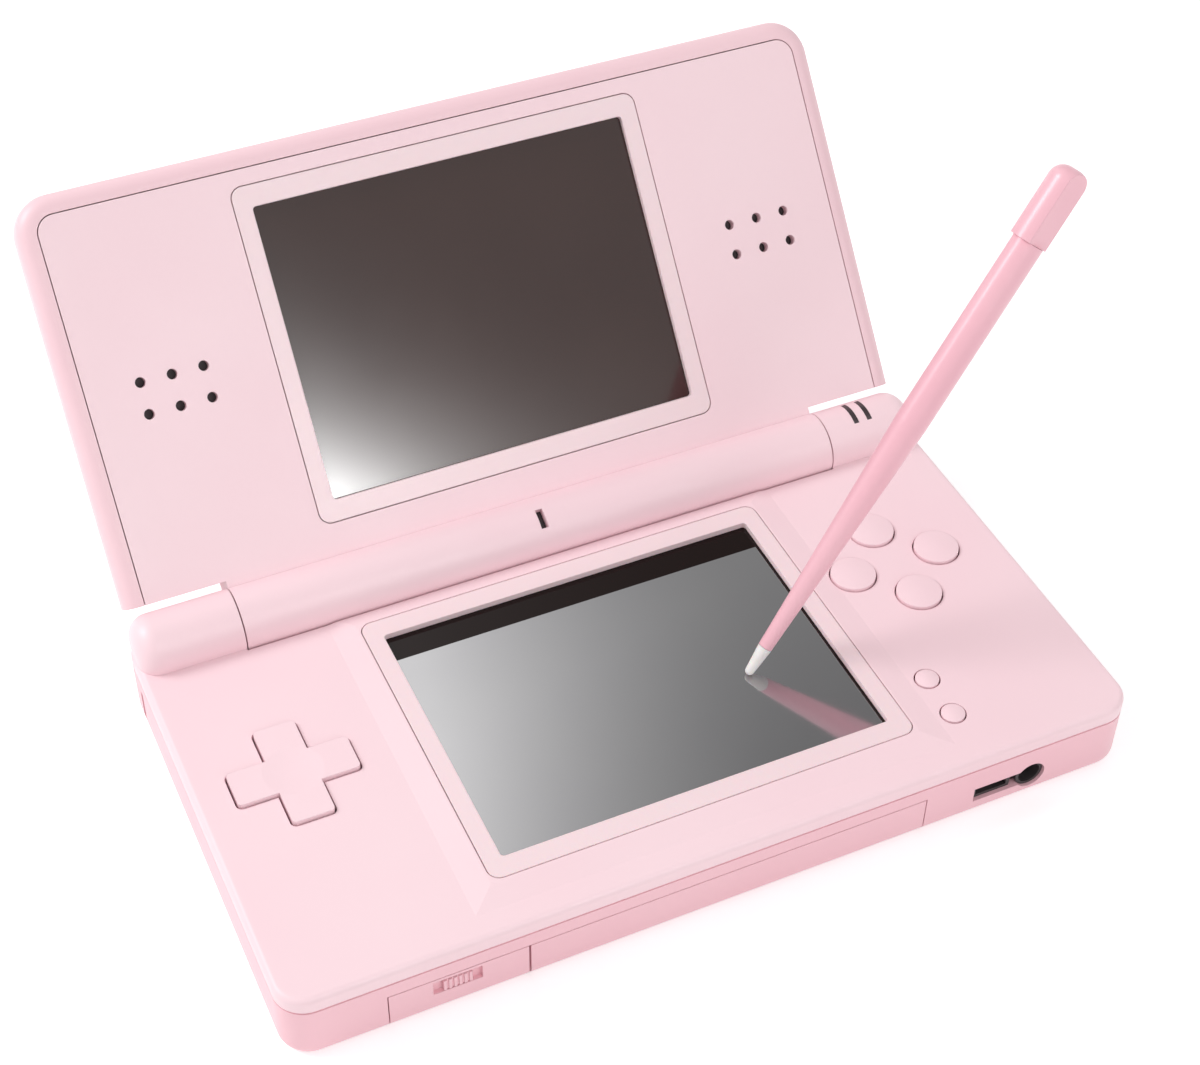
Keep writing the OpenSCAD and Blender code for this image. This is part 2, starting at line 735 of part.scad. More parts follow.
// Plate that follows the front of the case, from x0 to x1
module front_plate(x0, x1) intersection() {
    rounded_block(case_w, case_d, deck_h, base_corner_r, under_edge_r, deck_edge_r);
    box([x0, -case_d, 0], [x1, front_y + wall, front_top]);
}

// Dust cover of the cartridge bay: its face follows the front of the case, with a hollow box behind
module slot_cover() color(pink) {
    front_plate(-bay_w / 2, bay_w / 2);
    difference() {
        box([-bay_w / 2 + 0.6, front_y + wall - eps, bay_z + seam],
            [bay_w / 2 - 0.6, front_y + bay_depth - 5, bay_z + bay_h - 0.3]);
        box([-bay_w / 2 + 1.8, front_y + wall + 1, -1],
            [bay_w / 2 - 1.8, front_y + bay_depth - 6.2, bay_z + bay_h - 1.5]);
    }
}

// Panel between the bay and the left corner, which holds the volume slider
module volume_panel() color(pink) difference() {
    front_plate(panel_x, panel_right);
    translate([volume_x, front_y, volume_z]) slider_recess(volume_travel);
}

module headphone_jack() color(black_plastic) difference() {
    union() {
        box([jack_x - jack_r - 1.3, front_y + wall + 0.2, jack_z - 2.9],
            [jack_x + jack_r + 1.3, front_y + jack_l, jack_z + 2.9]);
        bar_y(jack_r + 0.5, front_y + 0.5, front_y + wall + 1, jack_x, jack_z);
    }
    bar_y(jack_r, front_y - 1, front_y + jack_l - 1, jack_x, jack_z);
}

module headset_port() color(black_plastic) difference() {
    x1 = jack_x - jack_r - 1.5;
    x0 = jack_x - headset_w - 2.1;
    z0 = jack_z - headset_h / 2 + fit;
    z1 = jack_z + headset_h / 2 - fit;
    box([x0, front_y + 0.6, z0], [x1, front_y + 9, z1]);
    box([x0 + 0.6, front_y - 1, z0 + 0.5], [x1 - 0.6, front_y + 5, z1 - 0.5]);
}

module charge_room() translate([charge_x, case_d / 2, charge_z])
    box([-charge_w / 2, -6.4, -charge_h / 2], [charge_w / 2, 1, charge_h / 2]);

module charge_port() color(black_plastic) translate([charge_x, case_d / 2, charge_z]) {
    difference() {
        box([-charge_w / 2 + fit, -6.3, -charge_h / 2 + fit],
            [charge_w / 2 - fit, -0.5, charge_h / 2 - fit]);
        box([-charge_w / 2 + 0.6, -5, -charge_h / 2 + 0.6],
            [charge_w / 2 - 0.6, 1, charge_h / 2 - 0.6]);
    }
    // tongue of the socket
    box([-charge_w / 2 + 2, -5 - eps, -0.4], [charge_w / 2 - 2, -1.4, 0.4]);
}

// Pocket with an upright bar, for the wrist strap
module strap_loop() translate([strap_x, case_d / 2, charge_z]) difference() {
    box([-3, -4, -1.9], [3, 1, 1.9]);
    translate([0, -1, -3]) cylinder(r = 0.9, h = 6);
}

module stylus_silo() color(white_plastic) difference() {
    union() {
        bar_x(silo_r + silo_wall, silo_end_x - silo_wall, silo_step_x, silo_y, silo_z);
        mouth(silo_wall, silo_step_x - silo_wall, silo_mouth_x);
    }
    bar_x(silo_r, silo_end_x, silo_mouth_x + 1, silo_y, silo_z);
    mouth(0, silo_step_x, case_w);
}

module volume_slider() color(pink) translate([volume_x, front_y, volume_z]) slider_knob();

module power_slider() color(pink) translate([case_w / 2, power_y, power_z]) rotate([0, 0, 90]) slider_knob();

// ---------------------------------------------------------------- cross pad and buttons

module cross(l, arm, r) {
    rounded_rect(l, arm, r);
    rounded_rect(arm, l, r);
}

module pad_hole() translate([-pad_x, pad_y, roof_z - 1])
    linear_extrude(case_d) cross(pad_l + 2 * pad_gap, pad_arm_w + 2 * pad_gap, 0.7 + pad_gap);

module d_pad() color(pink_inner) translate([-pad_x, pad_y, 0]) difference() {
    union() {
        difference() {
            translate([0, 0, roof_z - 1.1])
                linear_extrude(pad_top - roof_z + 1.1) cross(pad_l, pad_arm_w, 0.7);
            // each arm's top falls towards the middle, as thumbs expect
            translate([0, 0, pad_top + 39.75]) sphere(r = 40, $fn = 128);
        }
        translate([0, 0, roof_z - 1.4]) cylinder(r = 6.2, h = 0.8);
    }
    // socket of the rocker
    translate([0, 0, roof_z - 2]) cylinder(r = rocker_r + fit, h = 1.6);
}

// Pivot between the membrane and the pad
module dpad_rocker() color(rubber_grey) translate([-pad_x, pad_y, membrane_z + 0.45])
    cylinder(r = rocker_r, h = roof_z - 0.5 - membrane_z - 0.45);

// Rubber sheet with a dome under each arm
module dpad_membrane() color(rubber_grey) translate([-pad_x, pad_y, 0]) {
    plate(pad_l + 2.7, pad_l + 2.7, 3, membrane_z, membrane_z + 0.3);
    for (a = [0 : 90 : 270]) rotate(a)
        translate([pad_l / 2 - 2.15, 0, membrane_z + 0.3 - eps]) cylinder(r1 = 1.8, r2 = 1.3, h = 0.4);
}

// Round button with a gently crowned top, a guide flange and a stem
module round_button(d, proud, travel) {
    top = deck_h + proud;
    crown = d * d / 8 / 0.35;
    intersection() {
        translate([0, 0, roof_z - 0.8]) cylinder(d = d, h = top - roof_z + 0.8);
        translate([0, 0, top - crown]) sphere(r = crown, $fn = 96);
    }
    translate([0, 0, roof_z - 1]) cylinder(d = d + 1.4, h = 0.8);
    stem_foot = membrane_z + travel + 0.6;
    translate([0, 0, stem_foot]) cylinder(d = d * 0.45, h = roof_z - 0.9 - stem_foot);
}

module face_button(i) color(pink_inner)
    translate([face_at[i][0], face_at[i][1], 0]) round_button(face_d, face_proud, face_travel);

module small_button(i) color(pink_inner)
    translate([small_x, small_y[i], 0]) round_button(small_d, small_proud, small_travel);

// Rubber sheet of outline w by d with a dome under each point
module dome_sheet(centre, w, d, points) {
    translate(centre) plate(w, d, 2, membrane_z, membrane_z + 0.3);
    for (p = points) translate([p[0], p[1], membrane_z + 0.3 - eps]) cylinder(r1 = 1.6, r2 = 1.2, h = 0.25);
}

module face_button_membrane() color(rubber_grey)
    dome_sheet([face_x, face_y, 0], 2 * face_pitch + 6.5, 2 * face_pitch + 6.5, face_at);

module small_button_membrane() color(rubber_grey)
    dome_sheet([small_x, small_y[1] + small_pitch / 2, 0], 6, small_pitch + 6.5,
        [for (y = small_y) [small_x, y]]);

// ---------------------------------------------------------------- shoulder buttons

// Right shoulder button: the case's rounded rear corner as a thin wall, on an upright pivot
module shoulder_button() {
    z0 = shoulder_z;
    inner = 2.6;
    difference() {
        intersection() {
            rounded_block(case_w, case_d, deck_h, base_corner_r, under_edge_r, deck_edge_r);
            union() {
                box([case_w / 2 - shoulder_l, case_d / 2 - inner, z0], [case_w, case_d, z0 + shoulder_h]);
                box([case_w / 2 - inner, case_d / 2 - shoulder_side, z0], [case_w, case_d, z0 + shoulder_h]);
                translate([case_w / 2 - 6, case_d / 2 - 6, z0]) difference() {
                    cube([6, 6, shoulder_h]);
                    translate([0, 0, -1]) cylinder(r = 3.4, h = shoulder_h + 2);
                }
                translate([shoulder_pin_at[0], shoulder_pin_at[1], z0]) cylinder(r = 2, h = shoulder_h);
            }
        }
        translate([shoulder_pin_at[0], shoulder_pin_at[1], -1])
            cylinder(r = shoulder_pin_r + pin_play, h = case_d);
    }
}

module shoulder_button_right() color(pink) shoulder_button();

module shoulder_button_left() color(pink) mirror([1, 0, 0]) shoulder_button();

// The pins stand in the shell below and above the buttons
module shoulder_pin(play) translate([shoulder_pin_at[0], shoulder_pin_at[1], shoulder_z - 0.7 - play])
    cylinder(r = shoulder_pin_r + play, h = shoulder_h + 1.3 + 2 * play);

module shoulder_pins() color(steel) for (side = [0, 1]) mirror([side, 0, 0]) shoulder_pin(0);

// ---------------------------------------------------------------- lamps on the right barrel

// Curved slots across the top of the right barrel, between the radii given
module lamp_window(x, r0, r1, slack) {
    half = lamp_spread + 2 * slack;
    translate([x + lamp_w / 2 + slack, hinge_y, hinge_z])
        rotate([0, -90, 0]) rotate([0, 0, -half]) rotate_extrude(angle = 2 * half)
            translate([r0, 0]) square([r1 - r0, lamp_w + 2 * slack]);
}

module lamp_windows(slack, r1) for (x = lamp_x) lamp_window(x, barrel_r - 1.1, r1, slack);

module power_lamp_window() color(black_plastic)
    lamp_window(lamp_x[0], barrel_r - 1.05, barrel_r - 0.05, -0.03);

module charge_lamp_window() color(black_plastic)
    lamp_window(lamp_x[1], barrel_r - 1.05, barrel_r - 0.05, -0.03);

// ---------------------------------------------------------------- lid

// Outside of the lid, closed: its inner face is at z = 0 and the hinge axis is the X axis
module lid_outline() {
    block_d = lid_l + 12;
    difference() {
        intersection() {
            translate([0, block_d / 2 - lid_l, 0])
                rounded_block(lid_w, block_d, lid_t, lid_corner_r, lid_inner_edge_r, lid_outer_edge_r);
            union() {
                box([-case_w, -case_w, -1], [case_w, -lid_round_r, case_w]);
                bar_x(lid_round_r, -case_w, case_w, -lid_round_r, lid_t - lid_round_r);
            }
        }
        // the ends stay clear of the base barrels
        for (side = [0, 1]) mirror([side, 0, 0])
            box([lid_barrel_w / 2, -lid_clear, -1], [case_w, case_w, case_w]);
    }
}

module lid_barrel() bar_x(barrel_r, -lid_barrel_w / 2, lid_barrel_w / 2);

// Rectangle inside the lid's rim, up to the inner shell's thickness; it runs on past the hinge axis
module lid_panel(grow) {
    depth = lid_l - lid_rim_w + 2 * barrel_r;
    translate([0, depth / 2 - lid_l + lid_rim_w, 0])
        plate(lid_w - 2 * lid_rim_w + 2 * grow, depth + 2 * grow, panel_corner_r + grow, -1, lid_seam_h);
}

// Hollow between the lid's shells; outside it the inner shell seats on the outer one
module lid_hollow() {
    side = lid_rim_w + wall;
    depth = lid_l - side - lid_round_r - 1.5;
    translate([0, -lid_l + side + depth / 2, wall])
        plate(lid_w - 2 * side, depth, max(panel_corner_r - wall, 0.5), 0, lid_t - 2 * wall);
}

// Turned so that -z is the direction from the hinge axis through the microphone's slot
module at_microphone() translate([mic_x, 0, 0]) rotate([-mic_turn, 0, 0]) children();

module lid_inner_shell() color(pink_inner) on_lid() difference() {
    union() {
        intersection() {
            lid_outline();
            lid_panel(0);
        }
        lid_barrel();
    }
    difference() {
        lid_hollow();
        bar_x(barrel_r + 1, -case_w, case_w);
    }
    translate([0, -upper_screen_l, 0]) {
        plate(frame_w + 2 * seam, frame_d + 2 * seam, frame_corner_r + seam, -1, lens_t);
        plate(touch_w + 0.4, touch_d + 0.4, 1, -1, lid_t);
    }
    // speaker holes
    for (side = [-1, 1], i = [-1 : 1], j = [-0.5, 0.5])
        translate([side * speaker_x + i * hole_pitch[0], -speaker_l + j * hole_pitch[1], -1])
            cylinder(r = hole_r, h = lid_seam_h + 2, $fn = 32);
    // housings of the hinge cartridge and of the hinge bush
    for (side = [0, 1]) mirror([side, 0, 0])
        bar_x(cartridge_r + fit / 2, lid_barrel_w / 2 - cartridge_l, lid_barrel_w / 2 + 1);
    at_microphone() {
        box([-0.6, -1.6, -barrel_r - 1], [0.6, 1.6, 0]);
        translate([0, 0, -mic_depth - fit]) cylinder(r = mic_r + 0.2, h = 2.4);
    }
}

module lid_outer_shell() color(pink) on_lid() difference() {
    lid_outline();
    lid_panel(seam);
    lid_hollow();
    bar_x(barrel_r + fit, -lid_barrel_w, lid_barrel_w);
}

module upper_screen_frame() color(pale_frame) on_lid()
    translate([0, -upper_screen_l, 0]) screen_ring(0, lens_t - 0.1);

module upper_lens() color(dark_glass) on_lid() translate([0, -upper_screen_l, 0])
    plate(touch_w, touch_d, 0.8, lens_t - 0.1, 2 * lens_t - 0.1);

module upper_lcd() color(black_plastic) on_lid() translate([0, -upper_screen_l, 0])
    plate(touch_w - 1.2, touch_d - 2, 0.8, 2 * lens_t + 0.1, lid_t - wall - 0.4);

// Round speaker: a basket with a raised magnet
module speaker() on_lid() translate([speaker_x, -speaker_l, 0]) {
    translate([0, 0, wall + 0.15]) cylinder(r = speaker_r, h = basket_h);
    translate([0, 0, wall + 0.1 + basket_h]) cylinder(r = magnet_r, h = lid_t - 2 * wall - basket_h - 0.4);
}

module speaker_right() color(black_plastic) speaker();

module speaker_left() color(black_plastic) mirror([1, 0, 0]) speaker();

module microphone() color(black_plastic) on_lid() at_microphone()
    translate([0, 0, -mic_depth]) cylinder(r = mic_r, h = 2.2);

// Pin in the base barrel with its housing in the lid's barrel; the axis is X
module hinge_pin(housing_l) {
    bar_x(hinge_pin_r, lid_barrel_w / 2 - 1, base_barrel_x + hinge_pin_l);
    bar_x(cartridge_r, lid_barrel_w / 2 - housing_l, lid_barrel_w / 2);
}

module hinge_cartridge() color(steel) on_lid() hinge_pin(cartridge_l - 0.2);

// The left pin is hollow, for the wires between the halves
module hinge_bush() color(steel) on_lid() mirror([1, 0, 0]) difference() {
    hinge_pin(cartridge_l / 3);
    bar_x(hinge_pin_r - 0.6, 0, case_w);
}

// ---------------------------------------------------------------- stylus

// Puts a piece drawn along +z, from the tip, into the photographed pose on the touch glass
module in_hand() translate([tip_at[0], tip_at[1], touch_z + 0.05 + nib_r])
    rotate([0, stylus_lean, stylus_turn]) translate([0, 0, -nib_r]) children();

module stylus_nib() color(white_plastic) in_hand() rotate_extrude() {
    intersection() {
        translate([0, nib_r]) circle(nib_r);
        square([nib_r, nib_r]);
    }
    polygon([
        [0, nib_r], [nib_r, nib_r], [neck_r, nib_l],
        [neck_r - 0.3, nib_l], [neck_r - 0.3, nib_l + 4], [0, nib_l + 4]
    ]);
}

module stylus_shaft() color(pink) in_hand() difference() {
    rotate_extrude() polygon([
        [0, nib_l + fit / 2], [neck_r, nib_l + fit / 2],
        [stylus_r, nib_l + taper_l], [stylus_r, shaft_end],
        [plug_r, shaft_end], [plug_r, shaft_end + plug_l], [0, shaft_end + plug_l]
    ]);
    cylinder(r = neck_r - 0.3 + fit / 2, h = nib_l + 4.1);
}

// Round cap with a flat side and a rounded end
module stylus_cap() color(pink) in_hand() rotate(cap_turn) translate([0, 0, shaft_end + 0.02]) difference() {
    rotate_extrude() difference() {
        square([cap_r, cap_l - 0.02]);
        translate([cap_r, cap_l - 0.02]) rotate(180) corner_cut(2.3);
    }
    box([cap_flat, -cap_r - 1, -1], [cap_r + 1, cap_r + 1, cap_l + 1]);
    translate([0, 0, -1]) cylinder(r = plug_r + fit / 2, h = plug_l + 1.1);
}

base_bottom_shell();
base_top_shell();
battery_cover();
battery_cover_screw();
battery_pack();
base_screws();
rubber_feet();
main_board();
wifi_board();
touch_panel();
lower_lcd();
lower_screen_frame();
card_slot_connector();
cartridge_connector();
slot_cover();
volume_panel();
headphone_jack();
headset_port();
charge_port();
stylus_silo();
volume_slider();
power_slider();
dpad_membrane();
dpad_rocker();
d_pad();
face_button_membrane();
face_button(0);  // button_top
face_button(1);  // button_right
face_button(2);  // button_bottom
face_button(3);  // button_left
small_button_membrane();
small_button(0);  // button_start
small_button(1);  // button_select
shoulder_button_left();
shoulder_button_right();
shoulder_pins();
power_lamp_window();
charge_lamp_window();
lid_outer_shell();
lid_inner_shell();
upper_screen_frame();
upper_lens();
upper_lcd();
speaker_left();
speaker_right();
microphone();
hinge_cartridge();
hinge_bush();
stylus_nib();
stylus_shaft();
stylus_cap();
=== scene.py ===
import json
import math

import bmesh
import bpy
from mathutils import Matrix, Quaternion, Vector


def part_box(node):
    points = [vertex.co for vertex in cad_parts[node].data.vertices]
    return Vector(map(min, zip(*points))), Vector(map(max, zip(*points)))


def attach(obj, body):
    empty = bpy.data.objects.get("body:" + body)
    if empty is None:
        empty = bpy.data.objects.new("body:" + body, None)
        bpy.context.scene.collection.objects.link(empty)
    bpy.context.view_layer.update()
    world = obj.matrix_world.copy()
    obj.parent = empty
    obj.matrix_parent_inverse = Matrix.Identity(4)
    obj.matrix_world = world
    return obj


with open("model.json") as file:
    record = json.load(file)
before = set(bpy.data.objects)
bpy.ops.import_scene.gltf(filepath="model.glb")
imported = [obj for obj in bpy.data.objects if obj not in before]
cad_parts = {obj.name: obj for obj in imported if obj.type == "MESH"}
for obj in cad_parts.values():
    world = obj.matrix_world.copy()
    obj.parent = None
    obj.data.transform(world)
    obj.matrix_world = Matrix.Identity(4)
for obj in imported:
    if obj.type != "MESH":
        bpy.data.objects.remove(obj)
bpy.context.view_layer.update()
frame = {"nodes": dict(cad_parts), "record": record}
nodes = frame["nodes"]

MM = 0.001
LID_ANGLE = math.radians(129)
LID_UP = Vector((0, -math.cos(LID_ANGLE), math.sin(LID_ANGLE)))
LID_FACING = Vector((0, -math.sin(LID_ANGLE), -math.cos(LID_ANGLE)))

# Noise values mostly lie between these
NOISE_LOW, NOISE_HIGH = 0.3, 0.7

# Camera: the photograph's viewing angle, as fitted to the object's corners
IMAGE_WIDTH = 1200
CAMERA_TURN = math.radians(-25.31)
CAMERA_HEIGHT = math.radians(43.83)
CAMERA_ROLL = math.radians(1.0)
CAMERA_TARGET = Vector((10.17, 30.9, 10.0)) * MM
CAMERA_DISTANCE = 365.4 * MM
FOCAL_PIXELS = 2272.4
SENSOR_WIDTH = 36.0

# Light that the paper adds to its own image, so that it reads as white
PAPER_LIFT = 0.36

# Light all round and the two soft boxes: watts, side and place in metres
WORLD_LIGHT = 0.6
KEY_POWER, KEY_SIDE, KEY_PLACE = 7.5, 0.5, Vector((-0.78, 0.48, 0.86))
FILL_POWER, FILL_SIDE, FILL_PLACE = 3.4, 0.8, Vector((0.3, -1.1, 0.7))

# Cards that the screens mirror: how far off they stand and their sides, in metres
CARD_DISTANCE = 0.6
WINDOW_CARD_SIDE = 0.44
WALL_CARD_SIDE = 0.6


# ---------------------------------------------------------------- helpers


def linear(hex_colour):
    """An sRGB hex colour as the linear RGBA that shaders take."""
    parts = [int(hex_colour[i : i + 2], 16) / 255 for i in (1, 3, 5)]
    return [p / 12.92 if p <= 0.04045 else ((p + 0.055) / 1.055) ** 2.4 for p in parts] + [1.0]


def add(tree, kind, sockets, **settings):
    """Adds one node. sockets gives each input, by name or number, a constant or another node's output."""
    node = tree.nodes.new(kind)
    for name, value in settings.items():
        setattr(node, name, value)
    for name, value in sockets.items():
        if isinstance(value, bpy.types.NodeSocket):
            tree.links.new(value, node.inputs[name])
        else:
            node.inputs[name].default_value = value
    return node


def object_place(tree):
    """The point on the piece, in metres, in the object's own frame."""
    return add(tree, "ShaderNodeTexCoord", {}).outputs["Object"]


def wander(tree, size, low, high):
    """A value that wanders from low to high over patches of the given size in mm."""
    patches = add(
        tree,
        "ShaderNodeTexNoise",
        {"Vector": object_place(tree), "Scale": 1 / (size * MM), "Detail": 2.0},
    )
    spread = {"Value": patches.outputs[0], "From Min": NOISE_LOW, "From Max": NOISE_HIGH}
    spread.update({"To Min": low, "To Max": high})
    return add(tree, "ShaderNodeMapRange", spread).outputs[0]


def blend_colours(tree, share, first, second):
    """Colour that goes from first to second as share goes from 0 to 1; each is a hex colour or a socket."""
    sides = [linear(c) if isinstance(c, str) else c for c in (first, second)]
    mix = add(tree, "ShaderNodeMix", {0: share, 6: sides[0], 7: sides[1]}, data_type="RGBA")
    return mix.outputs[2]


def seen_share(tree):
    """1 for the rays that show a surface directly or in a reflection or through glass, else 0."""
    rays = add(tree, "ShaderNodeLightPath", {})
    mirrored = {0: rays.outputs["Is Glossy Ray"], 1: rays.outputs["Is Transmission Ray"]}
    either = add(tree, "ShaderNodeMath", mirrored, operation="MAXIMUM").outputs[0]
    both = {0: rays.outputs["Is Camera Ray"], 1: either}
    return add(tree, "ShaderNodeMath", both, operation="MAXIMUM").outputs[0]


def relief(tree, layers, edge=0.15):
    """Normal of a moulded surface: edges softened over edge mm, and bumps of (size, height) in mm."""
    normal = add(tree, "ShaderNodeBevel", {"Radius": edge * MM}, samples=4).outputs[0]
    for size, height in layers:
        bumps = {"Height": wander(tree, size, 0.0, 1.0), "Distance": height * MM, "Normal": normal}
        normal = add(tree, "ShaderNodeBump", bumps).outputs[0]
    return normal


def blank_material(name):
    """A new material and its empty tree."""
    material = bpy.data.materials.new(name)
    material.use_nodes = True
    material.node_tree.nodes.clear()
    return material, material.node_tree


def new_material(name, sockets):
    """A material of one Principled shader; sockets is a function that gives its inputs from the tree."""
    material, tree = blank_material(name)
    shader = add(tree, "ShaderNodeBsdfPrincipled", sockets(tree))
    add(tree, "ShaderNodeOutputMaterial", {"Surface": shader.outputs[0]})
    return material


def finished_piece(name, mesh, material):
    """Turns a bmesh into an object of one material that sits at the origin."""
    data = bpy.data.meshes.new(name)
    mesh.to_mesh(data)
    mesh.free()
    data.materials.append(material)
    piece = bpy.data.objects.new(name, data)
    bpy.context.scene.collection.objects.link(piece)
    return piece


# ---------------------------------------------------------------- materials


def housing_plastic(name, colour, deep_colour):
    """ABS, injection moulded and clear lacquered: an even pale pink with a soft satin gloss, faint orange
    peel from the lacquer, and a slightly uneven sheen where hands have polished it. The paler copies of it
    made in dress_frame are this same pink with painted sheen in their colour."""

    def sockets(tree):
        return {
            "Base Color": blend_colours(tree, wander(tree, 34, 0.0, 1.0), colour, deep_colour),
            "Roughness": wander(tree, 9, 0.42, 0.5),
            "Coat Weight": 0.2,
            "Coat Roughness": 0.3,
            "Normal": relief(tree, [(1.1, 0.0025), (0.22, 0.0006)]),
        }

    return new_material(name, sockets)


def stylus_plastic():
    """The same ABS in the stylus, where the thin round wall is cast in a deeper pink than the case."""

    def sockets(tree):
        return {
            "Base Color": blend_colours(tree, wander(tree, 20, 0.0, 1.0), "#F3BDC8", "#F1B6C3"),
            "Roughness": wander(tree, 5, 0.3, 0.38),
            "Coat Weight": 0.3,
            "Coat Roughness": 0.2,
            "Normal": relief(tree, [(0.8, 0.002)]),
        }

    return new_material("stylus_abs", sockets)


def frame_plastic():
    """Polycarbonate, injection moulded and glued round each screen: paler than the case and glossier,
    with a trace of milky depth."""

    def sockets(tree):
        return {
            "Base Color": blend_colours(tree, wander(tree, 40, 0.0, 1.0), "#F7DEE2", "#F6DCE0"),
            "Roughness": wander(tree, 14, 0.29, 0.32),
            "Subsurface Weight": 0.08,
            "Subsurface Scale": 0.4 * MM,
            "Normal": relief(tree, [(0.9, 0.0008)], edge=0.2),
        }

    return new_material("frame_polycarbonate", sockets)


def dark_lens():
    """Cast acrylic, smoked brown and hard coated: dark, flat and sharply reflecting."""

    def sockets(tree):
        return {
            "Base Color": blend_colours(tree, wander(tree, 30, 0.0, 1.0), "#341E1B", "#3A2420"),
            "Roughness": wander(tree, 14, 0.05, 0.09),
            "IOR": 1.5,
            "Normal": relief(tree, [(18.0, 0.0015)], edge=0.1),
        }

    return new_material("smoked_acrylic", sockets)


def touch_film():
    """Hard coated polyester film over a glass panel and the unlit display, whose polariser and metal pixels
    mirror softly in grey. A black printed mask runs along the back edge and, thinly, along the right."""
    mask_back, mask_right = 15.6 * MM, 30.2 * MM

    def sockets(tree):
        place = add(tree, "ShaderNodeSeparateXYZ", {"Vector": object_place(tree)})
        across, along = place.outputs[0], place.outputs[1]
        back = add(tree, "ShaderNodeMath", {0: along, 1: mask_back}, operation="GREATER_THAN").outputs[0]
        right = add(tree, "ShaderNodeMath", {0: across, 1: mask_right}, operation="GREATER_THAN").outputs[0]
        mask = add(tree, "ShaderNodeMath", {0: back, 1: right}, operation="MAXIMUM").outputs[0]
        pixels = blend_colours(tree, wander(tree, 25, 0.0, 1.0), "#B4B3B4", "#B1B0B2")
        return {
            "Base Color": blend_colours(tree, mask, pixels, "#180A08"),
            "Metallic": add(tree, "ShaderNodeMath", {0: 1.0, 1: mask}, operation="SUBTRACT").outputs[0],
            "Roughness": wander(tree, 10, 0.05, 0.09),
            "IOR": 1.28,
            "Normal": relief(tree, [(12.0, 0.001)], edge=0.05),
        }

    return new_material("touch_film", sockets)


def port_plastic():
    """Glass-filled PBT, injection moulded: matt charcoal with the fine grain of the tool."""

    def sockets(tree):
        return {
            "Base Color": blend_colours(tree, wander(tree, 3, 0.0, 1.0), "#2E282A", "#3B3436"),
            "Roughness": wander(tree, 1.5, 0.5, 0.65),
            "Normal": relief(tree, [(0.3, 0.004)], edge=0.08),
        }

    return new_material("port_pbt", sockets)


def display_module():
    """Rolled steel back of a display with its black edge tape: dark, fairly smooth."""

    def sockets(tree):
        return {
            "Base Color": blend_colours(tree, wander(tree, 8, 0.0, 1.0), "#1B1B1D", "#26262A"),
            "Roughness": wander(tree, 4, 0.3, 0.45),
            "Normal": relief(tree, [(2.0, 0.003)]),
        }

    return new_material("display_housing", sockets)


def solder_mask():
    """Glass-fibre board under green solder mask: glossy lacquer over copper tracks that stand slightly
    proud and show paler."""
    track_pitch, track_height = 6 * MM, 0.03 * MM

    def sockets(tree):
        tracks = add(
            tree,
            "ShaderNodeTexBrick",
            {
                "Vector": object_place(tree),
                "Scale": 1 / track_pitch,
                "Mortar Size": 0.03,
                "Color1": linear("#2F5B40"),
                "Color2": linear("#376748"),
                "Mortar": linear("#5B8A63"),
            },
        )
        lacquer = relief(tree, [(1.0, 0.004)])
        proud = {"Height": tracks.outputs["Fac"], "Distance": track_height, "Normal": lacquer}
        return {
            "Base Color": tracks.outputs["Color"],
            "Roughness": wander(tree, 3, 0.25, 0.4),
            "Normal": add(tree, "ShaderNodeBump", proud).outputs[0],
        }

    return new_material("solder_mask", sockets)


def battery_wrap():
    """Shrunk PVC sleeve round a lithium cell: dark grey, faintly rippled."""

    def sockets(tree):
        return {
            "Base Color": blend_colours(tree, wander(tree, 12, 0.0, 1.0), "#515156", "#5E5E63"),
            "Roughness": wander(tree, 5, 0.35, 0.5),
            "Normal": relief(tree, [(3.0, 0.03), (0.4, 0.002)], edge=0.4),
        }

    return new_material("battery_sleeve", sockets)


def plated_steel():
    """Nickel-plated steel, turned and pressed: bright grey with fine scratches."""

    def sockets(tree):
        return {
            "Base Color": blend_colours(tree, wander(tree, 1.2, 0.0, 1.0), "#B9BBBD", "#CDCED0"),
            "Metallic": 1.0,
            "Roughness": wander(tree, 0.5, 0.24, 0.38),
            "Normal": relief(tree, [(0.15, 0.0015)], edge=0.08),
        }

    return new_material("nickel_plated_steel", sockets)


def moulded_rubber():
    """Silicone rubber, compression moulded: matt grey with a velvety surface."""

    def sockets(tree):
        return {
            "Base Color": blend_colours(tree, wander(tree, 2.5, 0.0, 1.0), "#85858A", "#919196"),
            "Roughness": wander(tree, 1.0, 0.7, 0.85),
            "Sheen Weight": 0.15,
            "Normal": relief(tree, [(0.25, 0.006)], edge=0.2),
        }

    return new_material("silicone_rubber", sockets)


def white_acetal():
    """Acetal, injection moulded: waxy off-white, slightly translucent."""

    def sockets(tree):
        return {
            "Base Color": blend_colours(tree, wander(tree, 2, 0.0, 1.0), "#F4F1EF", "#EDE8E6"),
            "Roughness": wander(tree, 1.0, 0.32, 0.42),
            "Subsurface Weight": 0.15,
            "Subsurface Scale": 0.5 * MM,
            "Normal": relief(tree, [(0.4, 0.001)], edge=0.05),
        }

    return new_material("white_acetal", sockets)


def lamp_plastic():
    """Smoked acrylic light guide, polished: dark, with a glossy face."""

    def sockets(tree):
        return {
            "Base Color": blend_colours(tree, wander(tree, 1.5, 0.0, 1.0), "#3A2F33", "#4A3D42"),
            "Roughness": wander(tree, 0.8, 0.12, 0.2),
            "Normal": relief(tree, [(0.8, 0.001)], edge=0.05),
        }

    return new_material("lamp_acrylic", sockets)


